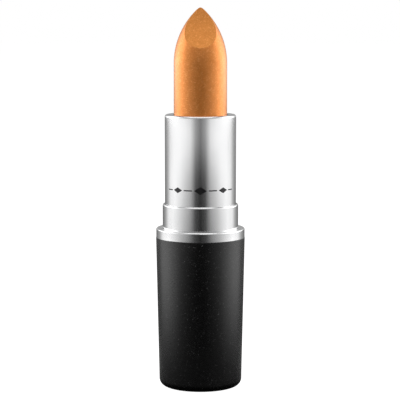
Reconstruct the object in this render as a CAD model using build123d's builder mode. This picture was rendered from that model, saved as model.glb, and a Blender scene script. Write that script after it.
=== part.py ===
"""A swivel-up lipstick with its cap off, every piece separate.

Frame: +Z up along the axis, origin at the centre of the base's foot, millimetres. The slanted
face of the lipstick looks along -Y. The pieces stand as they do with the lipstick fully raised.

How it works: the guide tube is keyed to the base and has two straight slots. The cam sleeve
turns around it with the bright outer sleeve and has two helical grooves inside. Each lug of the
carrier cup passes through a slot into a groove, so turning the outer sleeve moves the cup.
"""

from build123d import *
import os

# ---- Outside of the base and its trim ----
base_top_z = 34.4
base_top_radius = 10.15
base_foot_radius = 9.40
base_corner_radius = 1.7
base_inner_corner_radius = 0.25
base_lip_radius = 0.08
base_wall = 1.05
base_floor = 1.3
ring_top_z = 36.55
ring_radius = 10.10
ring_edge_radius = 0.32
ring_spigot_depth = 1.0
collar_top_z = 42.1
collar_bottom_z = 30.05
collar_radius = 8.62
collar_skirt_radius = 8.42
collar_step_height = 0.06
collar_wall = 0.44
collar_edge_radius = 0.37
collar_inner_edge_radius = 0.05

# ---- Bright outer sleeve ----
sleeve_top_z = 62.45
sleeve_bottom_z = 31.0
sleeve_radius = 8.10
sleeve_wall = 0.32
sleeve_corner_radius = 0.50
sleeve_inner_corner_radius = 0.20
sleeve_mouth_radius = 6.35
sleeve_mouth_edge_radius = 0.12

# ---- Lipstick bullet: a cylinder and a tangent ogive, with a hollow slanted face ----
bullet_radius = 6.05
ogive_start_z = 73.93
ogive_arc_radius = 16.7
face_hollow_radius = 25.8
face_centre_y = -23.9
face_centre_z = 95.8
face_edge_radius = 0.12

# ---- Travel and lugs of the mechanism ----
travel = 26.0
twist_turns = 1.5
lug_count = 2
lug_radius = 1.0
lug_root_radius = 6.2
lug_reach = 7.42
lug_z = 53.7
slot_gap = 0.05
groove_gap = 0.10

# ---- Carrier cup ----
cup_bottom_z = 52.2
cup_top_z = 61.6
cup_floor_low_z = 53.0
cup_floor_high_z = 54.4
cup_inner_radius = 6.07
cup_radius = 6.50
cup_mouth_chamfer = 0.12
rib_count = 6
rib_width = 0.5
rib_depth = 0.35
rib_root = 0.1
rib_top_z = 60.4
rib_start_angle = 30
seat_gap = 0.02

# ---- Guide tube ----
guide_top_z = 61.8
guide_inner_radius = 6.58
guide_radius = 7.08
guide_foot_z = 18.4
guide_foot_bore = 5.4
guide_foot_top_z = 25.6
guide_flange_z = 22.6
guide_flange_thickness = 0.8
guide_flange_radius = 7.75
bead_radius = 7.36
bead_low_z = 60.95
bead_high_z = 61.55
bead_chamfer = 0.2

# ---- Friction ring and its groove in the guide tube ----
friction_z = 24.6
friction_section_radius = 0.5
friction_groove_width = 1.2
friction_groove_floor = 6.10

# ---- Cam sleeve ----
cam_bottom_z = 23.5
cam_top_z = 61.8
cam_inner_radius = 7.14
cam_radius = 7.70
cam_bead_seat_radius = 7.42
cam_bead_seat_z = 60.9
cam_rib_radius = 7.74
cam_rib_root = 0.2
cam_rib_width = 1.2
cam_rib_count = 6
cam_rib_bottom_z = 33.0
cam_rib_top_z = 60.4
groove_floor_radius = 7.51
groove_run_on = 12.0

# ---- Base insert ----
insert_bottom_z = 6.45
insert_top_z = 33.3
insert_shell_gap = 0.03
insert_floor = 1.2
insert_well_radius = 6.4
insert_column_radius = 7.4
insert_skirt_z = 17.2
insert_socket_radius = 7.11
insert_bore_radius = 7.95
insert_collar_seat_z = 30.0
insert_collar_gap = 0.03
insert_rib_count = 8
insert_rib_width = 0.9
insert_rib_root = 0.4

# ---- Spline that keys the guide tube into the insert ----
spline_count = 12
spline_width = 1.1
spline_radius = 7.45
spline_root = 0.4
spline_gap = 0.03

# ---- Weight and label ----
weight_radius = 8.1
weight_height = 5.0
weight_hole_radius = 2.5
weight_chamfer = 0.4
label_seat_radius = 6.5
label_seat_depth = 0.35
label_radius = 6.35
label_thickness = 0.15

# ---- Worked out from the dimensions above ----
lead = travel / twist_turns
slot_low_z = lug_z - travel
run_on_rise = lead * groove_run_on / 360
base_slope = (base_top_radius - base_foot_radius) / base_top_z
shell_cavity_top = base_top_radius - base_wall
shell_cavity_floor = base_foot_radius + base_slope * base_floor - base_wall
collar_inner_radius = collar_radius - collar_wall
collar_seat_radius = collar_skirt_radius + insert_collar_gap
ogive_centre_radius = bullet_radius - ogive_arc_radius
ogive_height = (ogive_arc_radius**2 - ogive_centre_radius**2) ** 0.5
bullet_bottom_z = cup_floor_high_z + seat_gap
axis_tolerance = 1e-4


def insert_outside(height):
    """Radius of the base insert where it fills the tapered cavity of the base shell."""
    return base_foot_radius + base_slope * height - base_wall - insert_shell_gap


def rim(part, radius, height):
    """The circular edges of a part that have this radius at this height."""
    circles = part.edges().filter_by(GeomType.CIRCLE)
    right_size = circles.filter_by(lambda edge: abs(edge.radius - radius) < axis_tolerance)
    return right_size.filter_by(lambda edge: abs(edge.center().Z - height) < axis_tolerance)


# ---- Base shell: a black tapered cup with a round bottom corner and a seat for the label ----
with BuildPart() as base_shell:
    with BuildSketch(Plane.XZ):
        with BuildLine():
            Polyline(
                (0, 0),
                (base_foot_radius, 0),
                (base_top_radius, base_top_z),
                (shell_cavity_top, base_top_z),
                (shell_cavity_floor, base_floor),
                (0, base_floor),
                close=True,
            )
        make_face()
    revolve(axis=Axis.Z)
    fillet(rim(base_shell, base_foot_radius, 0), base_corner_radius)
    fillet(rim(base_shell, shell_cavity_floor, base_floor), base_inner_corner_radius)
    fillet(rim(base_shell, base_top_radius, base_top_z), base_lip_radius)
    with BuildSketch(Plane.XY):
        Circle(label_seat_radius)
    extrude(amount=label_seat_depth, mode=Mode.SUBTRACT)
base_shell.part.label = "base_shell"

# ---- Label: a plain disc glued in its seat, clear of the surface the base stands on ----
with BuildPart() as bottom_label:
    with BuildSketch(Plane.XY.offset(label_seat_depth - label_thickness)):
        Circle(label_radius)
    extrude(amount=label_thickness)
bottom_label.part.label = "bottom_label"

# ---- Weight: a steel slug on the floor of the base shell ----
with BuildPart() as base_weight:
    with BuildSketch(Plane.XY.offset(base_floor + seat_gap)):
        Circle(weight_radius)
        Circle(weight_hole_radius, mode=Mode.SUBTRACT)
    extrude(amount=weight_height)
    chamfer(base_weight.edges().filter_by(GeomType.CIRCLE), weight_chamfer)
base_weight.part.label = "base_weight"

# ---- Base insert: the plastic core that centres the mechanism and keeps it from turning ----
with BuildPart() as base_insert:
    with BuildSketch(Plane.XZ):
        with BuildLine():
            Polyline(
                (0, insert_bottom_z),
                (insert_column_radius, insert_bottom_z),
                (insert_column_radius, insert_skirt_z),
                (insert_outside(insert_skirt_z), insert_skirt_z),
                (insert_outside(insert_top_z), insert_top_z),
                (collar_seat_radius, insert_top_z),
                (collar_seat_radius, insert_collar_seat_z),
                (insert_bore_radius, insert_collar_seat_z),
                (insert_bore_radius, guide_flange_z),
                (insert_socket_radius, guide_flange_z),
                (insert_socket_radius, guide_foot_z),
                (insert_well_radius, guide_foot_z),
                (insert_well_radius, insert_bottom_z + insert_floor),
                (0, insert_bottom_z + insert_floor),
                close=True,
            )
        make_face()
    revolve(axis=Axis.Z)
    # Ribs that centre the narrow column in the base shell
    with BuildSketch(Plane.XY.offset(insert_bottom_z)):
        with PolarLocations(insert_column_radius - insert_rib_root, insert_rib_count):
            Rectangle(
                insert_outside(insert_bottom_z) - insert_column_radius + insert_rib_root,
                insert_rib_width,
                align=(Align.MIN, Align.CENTER),
            )
    extrude(amount=insert_skirt_z - insert_bottom_z)
    # Keyways for the spline of the guide tube
    with BuildSketch(Plane.XY.offset(guide_foot_z)):
        with PolarLocations(insert_socket_radius - spline_root, spline_count):
            Rectangle(
                spline_radius + spline_gap - insert_socket_radius + spline_root,
                spline_width + 2 * spline_gap,
                align=(Align.MIN, Align.CENTER),
            )
    extrude(amount=guide_flange_z - guide_foot_z, mode=Mode.SUBTRACT)
base_insert.part.label = "base_insert"

# ---- Base ring: the bright flange on top of the base, with a spigot down into the shell ----
with BuildPart() as base_ring:
    ring_seat_z = base_top_z + seat_gap
    with BuildSketch(Plane.XZ):
        with BuildLine():
            Polyline(
                (collar_seat_radius, ring_seat_z - ring_spigot_depth),
                (shell_cavity_top - insert_shell_gap, ring_seat_z - ring_spigot_depth),
                (shell_cavity_top - insert_shell_gap, ring_seat_z),
                (ring_radius, ring_seat_z),
                (ring_radius, ring_top_z),
                (collar_seat_radius, ring_top_z),
                close=True,
            )
        make_face()
    revolve(axis=Axis.Z)
    fillet(rim(base_ring, ring_radius, ring_top_z), ring_edge_radius)
base_ring.part.label = "base_ring"

# ---- Collar: the short bright tube that a cap grips, fixed in the base insert ----
with BuildPart() as collar:
    collar_step_z = ring_top_z + collar_step_height
    with BuildSketch(Plane.XY.offset(collar_bottom_z)):
        Circle(collar_skirt_radius)
        Circle(collar_inner_radius, mode=Mode.SUBTRACT)
    extrude(amount=collar_step_z - collar_bottom_z)
    with BuildSketch(Plane.XY.offset(collar_step_z)):
        Circle(collar_radius)
        Circle(collar_inner_radius, mode=Mode.SUBTRACT)
    extrude(amount=collar_top_z - collar_step_z)
    fillet(rim(collar, collar_radius, collar_top_z), collar_edge_radius)
    fillet(rim(collar, collar_inner_radius, collar_top_z), collar_inner_edge_radius)
collar.part.label = "collar"

# ---- Guide tube: keyed to the base, with two straight slots for the lugs ----
with BuildPart() as guide_tube:
    with BuildSketch(Plane.XZ):
        with BuildLine():
            Polyline(
                (guide_foot_bore, guide_foot_z + seat_gap),
                (guide_radius, guide_foot_z + seat_gap),
                (guide_radius, guide_flange_z + seat_gap),
                (guide_flange_radius, guide_flange_z + seat_gap),
                (guide_flange_radius, guide_flange_z + guide_flange_thickness),
                (guide_radius, guide_flange_z + guide_flange_thickness),
                (guide_radius, guide_top_z),
                (guide_inner_radius, guide_top_z),
                (guide_inner_radius, guide_foot_top_z),
                (guide_foot_bore, guide_foot_top_z),
                close=True,
            )
        make_face()
    revolve(axis=Axis.Z)
    # Bead that holds the cam sleeve down
    with BuildSketch(Plane.XY.offset(bead_low_z)):
        Circle(bead_radius)
        Circle(guide_radius - rib_root, mode=Mode.SUBTRACT)
    extrude(amount=bead_high_z - bead_low_z)
    chamfer(rim(guide_tube, bead_radius, bead_high_z), bead_chamfer)
    # Spline below the flange
    with BuildSketch(Plane.XY.offset(guide_foot_z + seat_gap)):
        with PolarLocations(guide_radius - spline_root, spline_count):
            Rectangle(
                spline_radius - guide_radius + spline_root,
                spline_width,
                align=(Align.MIN, Align.CENTER),
            )
    extrude(amount=guide_flange_z - guide_foot_z)
    # Groove for the friction ring
    with BuildSketch(Plane.XY.offset(friction_z - friction_groove_width / 2)):
        Circle(guide_flange_radius)
        Circle(friction_groove_floor, mode=Mode.SUBTRACT)
    extrude(amount=friction_groove_width, mode=Mode.SUBTRACT)
    # The two slots, in the +X and -X walls
    with BuildSketch(Plane.YZ):
        with Locations((0, (slot_low_z + lug_z) / 2)):
            SlotCenterToCenter(travel, 2 * (lug_radius + slot_gap), rotation=90)
    extrude(amount=guide_flange_radius, both=True, mode=Mode.SUBTRACT)
guide_tube.part.label = "guide_tube"

# ---- Friction ring: a rubber ring that drags on the cam sleeve so the lipstick stays put ----
with BuildPart() as friction_ring:
    with BuildSketch(Plane.XZ):
        with Locations((friction_groove_floor + seat_gap + friction_section_radius, friction_z)):
            Circle(friction_section_radius)
    revolve(axis=Axis.Z)
friction_ring.part.label = "friction_ring"

# ---- Cutter for one helical groove, starting on the +X side ----
with BuildPart() as groove_cutter:
    with BuildLine() as groove_path:
        Helix(
            pitch=lead,
            height=travel + 2 * run_on_rise,
            radius=cam_inner_radius,
            center=(0, 0, slot_low_z - run_on_rise),
        )
    groove_start = groove_path.line @ 0
    groove_heading = groove_path.line % 0
    with BuildSketch(Plane(origin=groove_start, x_dir=(1, 0, 0), z_dir=groove_heading)):
        Rectangle(2 * (groove_floor_radius - cam_inner_radius), 2 * (lug_radius + groove_gap))
    sweep(path=groove_path.line, is_frenet=True)

# ---- Cam sleeve: turns around the guide tube and drives the lugs with two helical grooves ----
with BuildPart() as cam_sleeve:
    with BuildSketch(Plane.XY.offset(cam_bottom_z)):
        Circle(cam_radius)
        Circle(cam_inner_radius, mode=Mode.SUBTRACT)
    extrude(amount=cam_top_z - cam_bottom_z)
    # Ribs that grip the inside of the outer sleeve
    with BuildSketch(Plane.XY.offset(cam_rib_bottom_z)):
        with PolarLocations(cam_radius - cam_rib_root, cam_rib_count):
            Rectangle(
                cam_rib_radius - cam_radius + cam_rib_root,
                cam_rib_width,
                align=(Align.MIN, Align.CENTER),
            )
    extrude(amount=cam_rib_top_z - cam_rib_bottom_z)
    # Seat for the bead of the guide tube
    with BuildSketch(Plane.XY.offset(cam_bead_seat_z)):
        Circle(cam_bead_seat_radius)
    extrude(amount=cam_top_z - cam_bead_seat_z, mode=Mode.SUBTRACT)
    with PolarLocations(0, lug_count, start_angle=-groove_run_on):
        add(groove_cutter.part, mode=Mode.SUBTRACT)
cam_sleeve.part.label = "cam_sleeve"

# ---- Outer sleeve: the bright tube that is turned by hand, with a rolled-in mouth ----
with BuildPart() as outer_sleeve:
    sleeve_inner_radius = sleeve_radius - sleeve_wall
    sleeve_mouth_z = sleeve_top_z - sleeve_wall
    with BuildSketch(Plane.XZ):
        with BuildLine():
            Polyline(
                (sleeve_inner_radius, sleeve_bottom_z),
                (sleeve_radius, sleeve_bottom_z),
                (sleeve_radius, sleeve_top_z),
                (sleeve_mouth_radius, sleeve_top_z),
                (sleeve_mouth_radius, sleeve_mouth_z),
                (sleeve_inner_radius, sleeve_mouth_z),
                close=True,
            )
        make_face()
    revolve(axis=Axis.Z)
    fillet(rim(outer_sleeve, sleeve_radius, sleeve_top_z), sleeve_corner_radius)
    fillet(rim(outer_sleeve, sleeve_inner_radius, sleeve_mouth_z), sleeve_inner_corner_radius)
    fillet(rim(outer_sleeve, sleeve_mouth_radius, sleeve_top_z), sleeve_mouth_edge_radius)
outer_sleeve.part.label = "outer_sleeve"

# ---- Carrier cup: holds the lipstick and is moved up and down by its two lugs ----
with BuildPart() as carrier_cup:
    # The lugs, rounded off to the curve of the cam sleeve's bore
    with BuildSketch(Plane.YZ):
        with Locations((0, lug_z)):
            Circle(lug_radius)
    extrude(amount=guide_flange_radius, both=True)
    with BuildSketch(Plane.XY.offset(lug_z)):
        Circle(lug_reach)
        Circle(lug_root_radius, mode=Mode.SUBTRACT)
    extrude(amount=2 * lug_radius, both=True, mode=Mode.INTERSECT)
    # The cup, open upwards, with a short skirt under its floor
    with BuildSketch(Plane.XZ):
        with BuildLine():
            Polyline(
                (cup_inner_radius, cup_bottom_z),
                (cup_radius, cup_bottom_z),
                (cup_radius, cup_top_z),
                (cup_inner_radius, cup_top_z),
                (cup_inner_radius, cup_floor_high_z),
                (0, cup_floor_high_z),
                (0, cup_floor_low_z),
                (cup_inner_radius, cup_floor_low_z),
                close=True,
            )
        make_face()
    revolve(axis=Axis.Z)
    chamfer(rim(carrier_cup, cup_inner_radius, cup_top_z), cup_mouth_chamfer)
    # Ribs that bite into the lipstick
    with BuildSketch(Plane.XY.offset(cup_floor_high_z)):
        with PolarLocations(cup_inner_radius - rib_depth, rib_count, start_angle=rib_start_angle):
            Rectangle(rib_depth + rib_root, rib_width, align=(Align.MIN, Align.CENTER))
    extrude(amount=rib_top_z - cup_floor_high_z)
carrier_cup.part.label = "carrier_cup"

# ---- Lipstick bullet: seated in the cup, cut to a hollow slanted face at the front ----
with BuildPart() as lipstick_bullet:
    with BuildSketch(Plane.XZ):
        with BuildLine():
            Polyline(
                (0, ogive_start_z + ogive_height),
                (0, bullet_bottom_z),
                (bullet_radius, bullet_bottom_z),
                (bullet_radius, ogive_start_z),
            )
            RadiusArc(
                (bullet_radius, ogive_start_z),
                (0, ogive_start_z + ogive_height),
                -ogive_arc_radius,
            )
        make_face()
    revolve(axis=Axis.Z)
    # Grooves pressed in by the ribs of the cup
    with BuildSketch(Plane.XY.offset(bullet_bottom_z)):
        with PolarLocations(
            cup_inner_radius - rib_depth - seat_gap, rib_count, start_angle=rib_start_angle
        ):
            Rectangle(2 * rib_depth, rib_width + 2 * seat_gap, align=(Align.MIN, Align.CENTER))
    extrude(amount=rib_top_z + seat_gap - bullet_bottom_z, mode=Mode.SUBTRACT)
    # The slanted face
    with BuildSketch(Plane.YZ):
        with Locations((face_centre_y, face_centre_z)):
            Circle(face_hollow_radius)
    extrude(amount=2 * bullet_radius, both=True, mode=Mode.SUBTRACT)
    hollow = lipstick_bullet.faces().filter_by(GeomType.CYLINDER)
    slanted_face = hollow.filter_by(lambda face: abs(face.radius - face_hollow_radius) < axis_tolerance)
    fillet(slanted_face.edges(), face_edge_radius)
lipstick_bullet.part.label = "lipstick_bullet"

# ---- One STEP file for each piece ----
os.makedirs("parts", exist_ok=True)
export_step(base_shell.part, "parts/base_shell.step")
export_step(bottom_label.part, "parts/bottom_label.step")
export_step(base_weight.part, "parts/base_weight.step")
export_step(base_insert.part, "parts/base_insert.step")
export_step(base_ring.part, "parts/base_ring.step")
export_step(collar.part, "parts/collar.step")
export_step(guide_tube.part, "parts/guide_tube.step")
export_step(friction_ring.part, "parts/friction_ring.step")
export_step(cam_sleeve.part, "parts/cam_sleeve.step")
export_step(outer_sleeve.part, "parts/outer_sleeve.step")
export_step(carrier_cup.part, "parts/carrier_cup.step")
export_step(lipstick_bullet.part, "parts/lipstick_bullet.step")
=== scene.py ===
import math

import bmesh
import bpy
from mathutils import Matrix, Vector


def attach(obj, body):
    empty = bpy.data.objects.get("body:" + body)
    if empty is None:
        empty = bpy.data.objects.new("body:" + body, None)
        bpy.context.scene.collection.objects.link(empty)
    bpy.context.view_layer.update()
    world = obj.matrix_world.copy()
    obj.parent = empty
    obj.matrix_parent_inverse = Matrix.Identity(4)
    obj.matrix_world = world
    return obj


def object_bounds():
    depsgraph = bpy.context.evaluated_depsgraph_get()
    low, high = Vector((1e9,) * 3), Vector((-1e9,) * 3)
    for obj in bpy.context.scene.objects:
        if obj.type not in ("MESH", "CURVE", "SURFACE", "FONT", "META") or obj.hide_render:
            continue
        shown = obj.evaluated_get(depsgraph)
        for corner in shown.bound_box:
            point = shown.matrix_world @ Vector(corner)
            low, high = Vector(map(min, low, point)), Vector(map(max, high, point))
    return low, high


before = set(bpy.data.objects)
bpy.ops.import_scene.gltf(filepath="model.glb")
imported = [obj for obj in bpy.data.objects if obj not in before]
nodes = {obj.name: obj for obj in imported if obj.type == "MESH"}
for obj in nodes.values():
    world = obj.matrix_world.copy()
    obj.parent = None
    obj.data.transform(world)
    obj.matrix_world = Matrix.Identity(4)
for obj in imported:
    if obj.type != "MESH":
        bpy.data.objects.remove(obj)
cad_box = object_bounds()
scene = bpy.context.scene
MM = 0.001


# ---------------------------------------------------------------------------
# Small helpers for node materials
# ---------------------------------------------------------------------------

def new_material(name):
    """A Principled material, returned with its node tree and shader."""
    material = bpy.data.materials.new(name)
    material.use_nodes = True
    tree = material.node_tree
    shader = tree.nodes["Principled BSDF"]
    return material, tree, shader


def object_coordinates(tree, scale=(1, 1, 1)):
    """Object coordinates in millimetres, stretched by scale."""
    source = tree.nodes.new("ShaderNodeTexCoord")
    mapping = tree.nodes.new("ShaderNodeMapping")
    mapping.inputs["Scale"].default_value = [s / MM for s in scale]
    tree.links.new(source.outputs["Object"], mapping.inputs["Vector"])
    return mapping.outputs["Vector"]


def noise(tree, vector, scale, detail=2.0, roughness=0.5):
    """Soft noise from 0 to 1."""
    node = tree.nodes.new("ShaderNodeTexNoise")
    node.inputs["Scale"].default_value = scale
    node.inputs["Detail"].default_value = detail
    node.inputs["Roughness"].default_value = roughness
    tree.links.new(vector, node.inputs["Vector"])
    return node.outputs["Fac"]


def flecks(tree, vector, scale):
    """A random grey for each small cell, for sparkle."""
    node = tree.nodes.new("ShaderNodeTexVoronoi")
    node.inputs["Scale"].default_value = scale
    tree.links.new(vector, node.inputs["Vector"])
    split = tree.nodes.new("ShaderNodeSeparateColor")
    tree.links.new(node.outputs["Color"], split.inputs["Color"])
    return split.outputs["Red"]


def ramp(tree, value, stops):
    """Greys or colours at positions from 0 to 1."""
    node = tree.nodes.new("ShaderNodeValToRGB")
    elements = node.color_ramp.elements
    elements[0].position, elements[0].color = stops[0][0], grey_or_colour(stops[0][1])
    elements[1].position, elements[1].color = stops[-1][0], grey_or_colour(stops[-1][1])
    for position, colour in stops[1:-1]:
        element = elements.new(position)
        element.color = grey_or_colour(colour)
    tree.links.new(value, node.inputs["Fac"])
    return node.outputs["Color"]


def grey_or_colour(colour):
    """A four-part colour from a single grey or three parts."""
    if isinstance(colour, (int, float)):
        return (colour, colour, colour, 1)
    return (*colour, 1)


def mix(tree, factor, first, second, blend="MIX"):
    """Two colours mixed by a number or an output."""
    node = tree.nodes.new("ShaderNodeMix")
    node.data_type = "RGBA"
    node.blend_type = blend
    if isinstance(factor, float):
        node.inputs["Factor"].default_value = factor
    else:
        tree.links.new(factor, node.inputs["Factor"])
    for socket, value in (("A", first), ("B", second)):
        target = [i for i in node.inputs if i.name == socket and i.type == "RGBA"][0]
        if isinstance(value, (tuple, int, float)):
            target.default_value = grey_or_colour(value)
        else:
            tree.links.new(value, target)
    return [o for o in node.outputs if o.type == "RGBA"][0]


def bump(tree, shader, height, strength, distance):
    """Relief from a height output, as deep as distance in metres."""
    node = tree.nodes.new("ShaderNodeBump")
    node.inputs["Strength"].default_value = strength
    node.inputs["Distance"].default_value = distance
    tree.links.new(height, node.inputs["Height"])
    tree.links.new(node.outputs["Normal"], shader.inputs["Normal"])


def vary_roughness(tree, shader, value, low, high):
    """Roughness from low to high as value goes from 0 to 1."""
    node = tree.nodes.new("ShaderNodeMapRange")
    node.inputs["To Min"].default_value = low
    node.inputs["To Max"].default_value = high
    tree.links.new(value, node.inputs["Value"])
    tree.links.new(node.outputs["Result"], shader.inputs["Roughness"])


def calculate(tree, operation, first, second):
    """A Math node on two numbers or outputs."""
    node = tree.nodes.new("ShaderNodeMath")
    node.operation = operation
    for socket, value in zip(node.inputs, (first, second)):
        if isinstance(value, (int, float)):
            socket.default_value = value
        else:
            tree.links.new(value, socket)
    return node.outputs[0]


# ---------------------------------------------------------------------------
# Materials
# ---------------------------------------------------------------------------

def satin_aluminium():
    """Bright anodised aluminium: a soft satin with a very fine drawn grain along the tube."""
    material, tree, shader = new_material("satin_aluminium")
    grain_space = object_coordinates(tree, (1, 1, 0.06))
    grain = noise(tree, grain_space, scale=9.0, detail=3.0)
    cloud = noise(tree, object_coordinates(tree), scale=0.35)
    shader.inputs["Metallic"].default_value = 1.0
    colour = ramp(tree, cloud, [(0.3, (0.872, 0.875, 0.880)), (0.7, (0.890, 0.890, 0.894))])
    tree.links.new(colour, shader.inputs["Base Color"])
    vary_roughness(tree, shader, grain, low=0.115, high=0.135)
    bump(tree, shader, grain, strength=0.015, distance=0.005 * MM)
    return material


def sparkle_black():
    """Black moulded plastic with a fine satin grain and tiny light flecks in it."""
    material, tree, shader = new_material("sparkle_black")
    space = object_coordinates(tree)
    cells = flecks(tree, space, scale=6.5)
    grain = noise(tree, space, scale=5.0, detail=3.0, roughness=0.6)
    base = ramp(tree, grain, [(0.3, 0.0010), (0.7, 0.0022)])
    sparkle = ramp(tree, cells, [(0.90, 0.0), (0.98, 0.03), (1.0, 0.12)])
    colour = mix(tree, 1.0, base, sparkle, "ADD")
    tree.links.new(colour, shader.inputs["Base Color"])
    vary_roughness(tree, shader, grain, low=0.24, high=0.30)
    shader.inputs["Specular IOR Level"].default_value = 0.7
    bump(tree, shader, grain, strength=0.10, distance=0.02 * MM)
    return material


# The hollow of the slanted face is part of a cylinder that lies along X, in millimetres
FACE_CENTRE_Y = -23.9
FACE_CENTRE_Z = 95.8
FACE_RADIUS = 25.8
# How far off that cylinder the face's look starts and is complete
FACE_FADE_START = 0.06
FACE_FADE_END = 0.02


def slanted_face_mask(tree):
    """1 on the slanted face of the lipstick, 0 on its moulded sides."""
    split = tree.nodes.new("ShaderNodeSeparateXYZ")
    tree.links.new(object_coordinates(tree), split.inputs["Vector"])
    across = calculate(tree, "SUBTRACT", split.outputs["Y"], FACE_CENTRE_Y)
    up = calculate(tree, "SUBTRACT", split.outputs["Z"], FACE_CENTRE_Z)
    squared = calculate(
        tree,
        "ADD",
        calculate(tree, "MULTIPLY", across, across),
        calculate(tree, "MULTIPLY", up, up),
    )
    distance = calculate(tree, "SQRT", squared, 0.0)
    inside = calculate(tree, "SUBTRACT", distance, FACE_RADIUS)
    near = tree.nodes.new("ShaderNodeMapRange")
    near.interpolation_type = "SMOOTHSTEP"
    near.inputs["From Min"].default_value = FACE_FADE_START
    near.inputs["From Max"].default_value = FACE_FADE_END
    tree.links.new(inside, near.inputs["Value"])
    return near.outputs["Result"]


def pearl_wax():
    """Copper lipstick wax with mica shimmer. The cut face is duller than the moulded sides."""
    material, tree, shader = new_material("pearl_wax")
    space = object_coordinates(tree)
    cells = flecks(tree, space, scale=4.4)
    cloud = noise(tree, space, scale=0.8, detail=4.0)
    fine = noise(tree, space, scale=6.0)
    face = slanted_face_mask(tree)
    sides = ramp(tree, cloud, [(0.3, (0.80, 0.238, 0.028)), (0.7, (0.88, 0.272, 0.038))])
    cut = ramp(tree, cloud, [(0.3, (0.72, 0.260, 0.054)), (0.7, (0.79, 0.294, 0.066))])
    shimmer = ramp(tree, cells, [(0.0, 0.0), (0.8, (0.07, 0.05, 0.02)), (1.0, (0.18, 0.14, 0.06))])
    body = mix(tree, face, sides, cut)
    colour = mix(tree, 1.0, body, shimmer, "ADD")
    tree.links.new(colour, shader.inputs["Base Color"])
    shader.inputs["Metallic"].default_value = 0.7
    shader.inputs["Specular Tint"].default_value = (1.0, 0.86, 0.62, 1)
    not_face = calculate(tree, "SUBTRACT", 1.0, face)
    coat = calculate(tree, "MULTIPLY", not_face, 0.7)
    tree.links.new(coat, shader.inputs["Coat Weight"])
    shader.inputs["Coat Roughness"].default_value = 0.22
    shader.inputs["Coat IOR"].default_value = 1.55
    texture = calculate(tree, "MULTIPLY", fine, 0.08)
    dullness = calculate(tree, "MULTIPLY", face, 0.16)
    roughness = calculate(tree, "ADD", calculate(tree, "ADD", texture, 0.34), dullness)
    tree.links.new(roughness, shader.inputs["Roughness"])
    bump(tree, shader, cells, strength=0.30, distance=0.02 * MM)
    return material


ROUGHNESS_SPREAD = 0.06


def moulded_plastic(name, dark, light, roughness):
    """Moulded plastic with a faint cloudiness and a fine grain."""
    material, tree, shader = new_material(name)
    space = object_coordinates(tree)
    cloud = noise(tree, space, scale=0.5, detail=3.0)
    grain = noise(tree, space, scale=7.0)
    colour = ramp(tree, cloud, [(0.3, dark), (0.7, light)])
    tree.links.new(colour, shader.inputs["Base Color"])
    low, high = roughness - ROUGHNESS_SPREAD, roughness + ROUGHNESS_SPREAD
    vary_roughness(tree, shader, grain, low, high)
    bump(tree, shader, grain, strength=0.1, distance=0.02 * MM)
    return material


def turned_steel():
    """Plain steel with fine turning rings."""
    material, tree, shader = new_material("turned_steel")
    rings = tree.nodes.new("ShaderNodeTexWave")
    rings.wave_type = "RINGS"
    rings.rings_direction = "Z"
    rings.inputs["Scale"].default_value = 1.6
    tree.links.new(object_coordinates(tree), rings.inputs["Vector"])
    shader.inputs["Metallic"].default_value = 1.0
    turning = rings.outputs["Fac"]
    colour = ramp(tree, turning, [(0.0, 0.42), (1.0, 0.54)])
    tree.links.new(colour, shader.inputs["Base Color"])
    vary_roughness(tree, shader, turning, low=0.28, high=0.4)
    bump(tree, shader, turning, strength=0.2, distance=0.02 * MM)
    return material


metal = satin_aluminium()
black = sparkle_black()
wax = pearl_wax()
white_plastic = moulded_plastic(
    "natural_plastic", (0.72, 0.72, 0.70), (0.80, 0.80, 0.78), roughness=0.42)
dark_plastic = moulded_plastic(
    "dark_plastic", (0.030, 0.030, 0.032), (0.045, 0.045, 0.048), roughness=0.35)
rubber = moulded_plastic(
    "ring_rubber", (0.012, 0.012, 0.012), (0.022, 0.022, 0.022), roughness=0.6)
paper = moulded_plastic(
    "label_paper", (0.74, 0.73, 0.70), (0.82, 0.81, 0.79), roughness=0.6)
steel = turned_steel()

NODE_MATERIALS = {
    "outer_sleeve": metal,
    "collar": metal,
    "base_ring": metal,
    "base_shell": black,
    "lipstick_bullet": wax,
    "carrier_cup": dark_plastic,
    "cam_sleeve": dark_plastic,
    "guide_tube": white_plastic,
    "base_insert": white_plastic,
    "friction_ring": rubber,
    "base_weight": steel,
    "bottom_label": paper,
}
for node_name, material in NODE_MATERIALS.items():
    slots = nodes[node_name].data.materials
    slots.clear()
    slots.append(material)


# ---------------------------------------------------------------------------
# Printed ornament on the front of the outer sleeve
# ---------------------------------------------------------------------------

SLEEVE_RADIUS = 8.10 * MM
PRINT_LIFT = 0.006 * MM
PRINT_THICKNESS = 0.010 * MM
PRINT_HEIGHT = 45.8 * MM
# Along the sleeve's surface from the ornament's middle, in millimetres
PRINT_HALF_WIDTH = 8.6
PRINT_STEP = 0.05
PRINT_BARS = ((1.9, 3.9), (7.1, PRINT_HALF_WIDTH))
BAR_HALF_HEIGHT = 0.13
# Each lozenge's place, half width and half height
PRINT_LOZENGES = ((0.0, 1.5, 0.88), (5.5, 1.2, 0.66))
PRINT_LEAST_HALF_HEIGHT = 0.02


def ornament_half_height(along):
    """Half the height of the ornament at this distance from its middle, in millimetres."""
    distance = abs(along)
    height = 0.0
    for start, end in PRINT_BARS:
        if start <= distance <= end:
            height = BAR_HALF_HEIGHT
    for centre, half_width, half_height in PRINT_LOZENGES:
        height = max(height, half_height * (1 - abs(distance - centre) / half_width))
    return height


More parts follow.
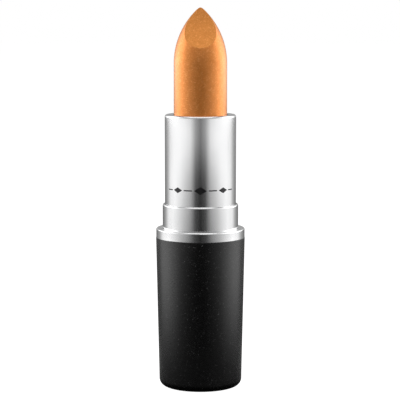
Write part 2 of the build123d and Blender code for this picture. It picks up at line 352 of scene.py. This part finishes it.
def printed_ornament():
    """A thin film of ink wrapped on the sleeve: three lozenges and four short bars."""
    inner = SLEEVE_RADIUS + PRINT_LIFT
    outer = inner + PRINT_THICKNESS
    mesh = bpy.data.meshes.new("printed_ornament")
    film = bmesh.new()
    previous = None
    count = round(2 * PRINT_HALF_WIDTH / PRINT_STEP)
    for i in range(count + 1):
        along = -PRINT_HALF_WIDTH + i * PRINT_STEP
        half = ornament_half_height(along) * MM
        if half < PRINT_LEAST_HALF_HEIGHT * MM:
            previous = None
            continue
        angle = along * MM / SLEEVE_RADIUS
        loop = []
        for radius, side in ((inner, -1), (outer, -1), (outer, 1), (inner, 1)):
            x, y = radius * math.sin(angle), -radius * math.cos(angle)
            loop.append(film.verts.new((x, y, PRINT_HEIGHT + side * half)))
        if previous:
            for a in range(4):
                b = (a + 1) % 4
                film.faces.new((previous[a], previous[b], loop[b], loop[a]))
        previous = loop
    bmesh.ops.holes_fill(film, edges=film.edges[:], sides=4)
    bmesh.ops.recalc_face_normals(film, faces=film.faces[:])
    film.to_mesh(mesh)
    film.free()
    ornament = bpy.data.objects.new("printed_ornament", mesh)
    scene.collection.objects.link(ornament)
    ink = moulded_plastic("black_ink", (0.006, 0.006, 0.007), (0.012, 0.012, 0.013), roughness=0.4)
    mesh.materials.append(ink)
    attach(ornament, "sleeve")


printed_ornament()


# ---------------------------------------------------------------------------
# Stage: light tent, floor, top light and background
# ---------------------------------------------------------------------------

# Degrees from the front, the same to the left and to the right
GLOW_ANGLES = (0, 16, 32, 50, 68, 90, 112, 130, 150, 180)
# Radius and height of each ring of the tent, then its brightness at the angles above.
# The levels were matched to the photograph as seen from the camera's angle.
GLOW_RINGS = (
    (0.011, 0.000, (0.04, 0.04, 0.05, 0.06, 0.08, 0.10, 0.12, 0.16, 0.20, 0.20)),
    (0.034, 0.000, (0.05, 0.05, 0.05, 0.06, 0.10, 0.13, 0.16, 0.20, 0.22, 0.22)),
    (0.050, 0.000, (0.03, 0.04, 0.05, 0.08, 0.18, 0.26, 0.24, 0.18, 0.18, 0.18)),
    (0.074, 0.000, (0.01, 0.02, 0.04, 0.10, 0.32, 0.48, 0.38, 0.14, 0.12, 0.12)),
    (0.145, 0.000, (0.01, 0.03, 0.09, 0.32, 1.05, 1.70, 1.20, 0.22, 0.12, 0.12)),
    (0.210, 0.000, (0.01, 0.04, 0.13, 0.42, 1.30, 2.30, 1.70, 0.28, 0.14, 0.14)),
    (0.245, 0.000, (0.02, 0.07, 0.24, 0.41, 0.58, 0.82, 0.84, 0.40, 0.20, 0.16)),
    (0.300, 0.000, (0.02, 0.07, 0.33, 0.52, 0.71, 0.95, 0.91, 0.39, 0.20, 0.16)),
    (0.300, 0.008, (0.02, 0.07, 0.41, 0.58, 0.81, 1.02, 0.94, 0.40, 0.21, 0.16)),
    (0.300, 0.011, (0.01, 0.05, 0.40, 0.60, 0.84, 1.05, 0.93, 0.42, 0.22, 0.17)),
    (0.300, 0.015, (0.01, 0.04, 0.40, 0.63, 0.93, 1.08, 0.96, 0.44, 0.23, 0.18)),
    (0.300, 0.020, (0.02, 0.06, 0.48, 0.72, 1.00, 1.09, 0.96, 0.44, 0.24, 0.18)),
    (0.300, 0.026, (0.11, 0.22, 0.74, 0.94, 1.06, 1.05, 0.86, 0.42, 0.24, 0.18)),
    (0.300, 0.034, (0.26, 0.48, 1.00, 1.12, 1.12, 1.04, 0.82, 0.42, 0.26, 0.20)),
    (0.300, 0.044, (0.26, 0.48, 1.00, 1.12, 1.12, 1.04, 0.82, 0.42, 0.26, 0.20)),
    (0.300, 0.052, (0.03, 0.04, 0.14, 0.38, 0.85, 1.90, 3.10, 2.60, 0.80, 0.30)),
    (0.300, 0.068, (0.03, 0.04, 0.14, 0.38, 0.85, 2.00, 3.40, 2.90, 0.80, 0.35)),
    (0.300, 0.078, (0.34, 0.34, 0.36, 0.46, 0.90, 2.00, 3.20, 2.40, 0.60, 0.36)),
    (0.300, 0.100, (0.36, 0.36, 0.38, 0.46, 0.85, 1.90, 2.60, 1.70, 0.50, 0.36)),
    (0.300, 0.200, (0.45, 0.45, 0.50, 0.60, 0.90, 1.90, 2.20, 1.30, 0.45, 0.40)),
    (0.300, 0.300, (0.55, 0.55, 0.60, 0.70, 0.90, 1.40, 1.40, 0.90, 0.45, 0.40)),
    (0.300, 0.400, (0.90, 0.90, 0.90, 0.90, 0.90, 0.90, 0.80, 0.70, 0.60, 0.60)),
)


RING_STEP = 0.01
TENT_TURNS = 120
HEM_LIFT = 0.05 * MM


def between(stops, values, x):
    """The value at x, on straight lines between stops."""
    if x <= stops[0]:
        return values[0]
    for s0, s1, v0, v1 in zip(stops, stops[1:], values, values[1:]):
        if x <= s1:
            return v0 + (v1 - v0) * (x - s0) / (s1 - s0)
    return values[-1]


def light_tent():
    """A round tent of soft cards about the object, with a hem that lies inwards on the floor.

    It is dark towards the camera's side and bright at the sides.
    """
    rings = []
    for (r0, h0, row0), (r1, h1, row1) in zip(GLOW_RINGS, GLOW_RINGS[1:]):
        steps = max(1, round(math.hypot(r1 - r0, h1 - h0) / RING_STEP))
        for i in range(steps):
            share = i / steps
            row = [v0 + (v1 - v0) * share for v0, v1 in zip(row0, row1)]
            rings.append((r0 + (r1 - r0) * share, h0 + (h1 - h0) * share, row))
    rings.append(GLOW_RINGS[-1])
    mesh = bpy.data.meshes.new("light_tent")
    sheet = bmesh.new()
    layer = sheet.verts.layers.float.new("glow")
    columns = []
    for i in range(TENT_TURNS):
        angle = 360 * i / TENT_TURNS - 180
        column = []
        for radius, height, row in rings:
            x = radius * math.sin(math.radians(angle))
            y = -radius * math.cos(math.radians(angle))
            vertex = sheet.verts.new((x, y, height))
            vertex[layer] = between(GLOW_ANGLES, row, abs(angle))
            column.append(vertex)
        columns.append(column)
    for i in range(TENT_TURNS):
        left, right = columns[i], columns[(i + 1) % TENT_TURNS]
        for j in range(len(rings) - 1):
            sheet.faces.new((left[j], right[j], right[j + 1], left[j + 1]))
    sheet.to_mesh(mesh)
    sheet.free()
    material = bpy.data.materials.new("tent_glow")
    material.use_nodes = True
    tree = material.node_tree
    tree.nodes.clear()
    level = tree.nodes.new("ShaderNodeAttribute")
    level.attribute_name = "glow"
    emitter = tree.nodes.new("ShaderNodeEmission")
    output = tree.nodes.new("ShaderNodeOutputMaterial")
    tree.links.new(level.outputs["Fac"], emitter.inputs["Strength"])
    tree.links.new(emitter.outputs["Emission"], output.inputs["Surface"])
    mesh.materials.append(material)
    tent = bpy.data.objects.new("light_tent", mesh)
    scene.collection.objects.link(tent)
    tent.location.z = cad_box[0][2] + HEM_LIFT
    tent.visible_camera = False
    tent.visible_shadow = False


light_tent()

FLOOR_RADIUS = 3.0


def pale_floor():
    """A wide pale disc under the object, which the object's own surfaces don't reflect."""
    mesh = bpy.data.meshes.new("floor")
    disc = bmesh.new()
    bmesh.ops.create_circle(disc, cap_ends=True, segments=96, radius=FLOOR_RADIUS)
    disc.to_mesh(mesh)
    disc.free()
    floor = bpy.data.objects.new("floor", mesh)
    scene.collection.objects.link(floor)
    floor.location.z = cad_box[0][2]
    material, tree, shader = new_material("pale_floor")
    cloud = noise(tree, object_coordinates(tree), scale=0.02)
    colour = ramp(tree, cloud, [(0.0, 0.42), (1.0, 0.46)])
    tree.links.new(colour, shader.inputs["Base Color"])
    shader.inputs["Roughness"].default_value = 0.9
    shader.inputs["Specular IOR Level"].default_value = 0.0
    shader.inputs["Emission Color"].default_value = (1, 1, 1, 1)
    shader.inputs["Emission Strength"].default_value = 1.0
    mesh.materials.append(material)
    floor.visible_glossy = False
    floor.visible_diffuse = False


pale_floor()


def area_light(name, location, target, size, radiance):
    """A square soft light of the given radiance, aimed at a point."""
    data = bpy.data.lights.new(name, "AREA")
    data.shape = "SQUARE"
    data.size = size
    data.energy = radiance * math.pi * size * size
    light = bpy.data.objects.new(name, data)
    light.location = location
    aim = Vector(target) - Vector(location)
    light.rotation_euler = aim.to_track_quat("-Z", "Y").to_euler()
    light.visible_camera = False
    scene.collection.objects.link(light)


area_light("top_light", location=(0, -0.05, 0.55), target=(0, 0, 0.05), size=0.55, radiance=1.15)

# The camera sees a white background, which lights the object only faintly
world = bpy.data.worlds.new("studio")
scene.world = world
world.use_nodes = True
world_tree = world.node_tree
background = world_tree.nodes["Background"]
light_path = world_tree.nodes.new("ShaderNodeLightPath")
seen = world_tree.nodes.new("ShaderNodeMapRange")
seen.inputs["To Min"].default_value = 0.01
seen.inputs["To Max"].default_value = 1.0
world_tree.links.new(light_path.outputs["Is Camera Ray"], seen.inputs["Value"])
world_tree.links.new(seen.outputs["Result"], background.inputs["Strength"])
background.inputs["Color"].default_value = (1, 1, 1, 1)

# ---------------------------------------------------------------------------
# Camera
# ---------------------------------------------------------------------------

aim_height = 0.04286
camera_distance = 0.3947
camera_pitch = math.radians(6.66)
camera_aside = -0.0001
camera_data = bpy.data.cameras.new("camera")
camera_data.sensor_fit = "HORIZONTAL"
camera_data.sensor_width = 36.0
camera_data.lens = 155.7
camera_data.clip_start = 0.01
camera = bpy.data.objects.new("camera", camera_data)
camera.location = (
    camera_aside,
    -camera_distance * math.cos(camera_pitch),
    aim_height + camera_distance * math.sin(camera_pitch),
)
camera.rotation_euler = (math.pi / 2 - camera_pitch, 0, 0)
scene.collection.objects.link(camera)
scene.camera = camera
scene.view_settings.view_transform = "Standard"
